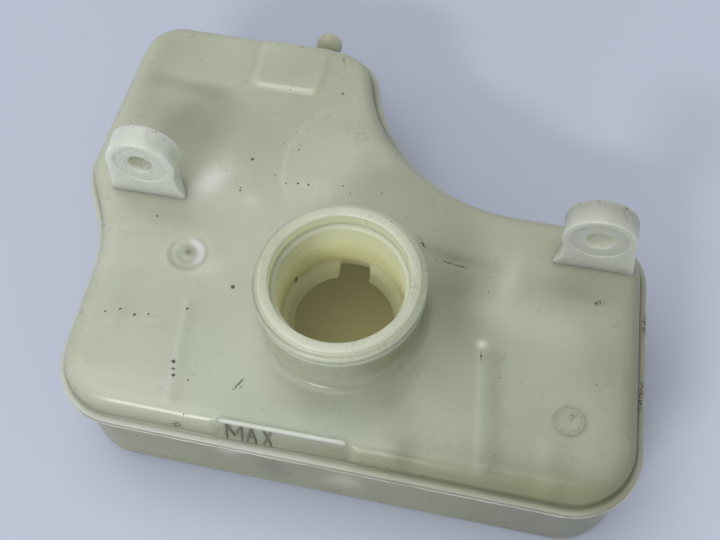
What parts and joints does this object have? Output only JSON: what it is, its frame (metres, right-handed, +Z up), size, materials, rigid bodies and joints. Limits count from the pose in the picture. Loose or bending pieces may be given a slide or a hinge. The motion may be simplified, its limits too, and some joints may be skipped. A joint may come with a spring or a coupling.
{
  "type": "brake fluid reservoir",
  "caption": "Shallow translucent fluid tank of two welded shells, with a wide threaded filler neck, hanging ears and a hose spigot.",
  "frame": {"origin": "on the flat resting face, directly below the filler neck's axis", "axes": "+Z up along the filler neck's axis, +X along the tank's long side, +Y to the back, where the hose spigot is"},
  "size_m": [0.1968, 0.1699, 0.0756],
  "materials": {
    "shell_upper": "aged translucent polypropylene, satin",
    "shell_lower": "aged translucent polypropylene, stained inside"
  },
  "bodies": {
    "root": {"upper_shell": "shell_upper", "lower_shell": "shell_lower"}
  },
  "joints": []
}
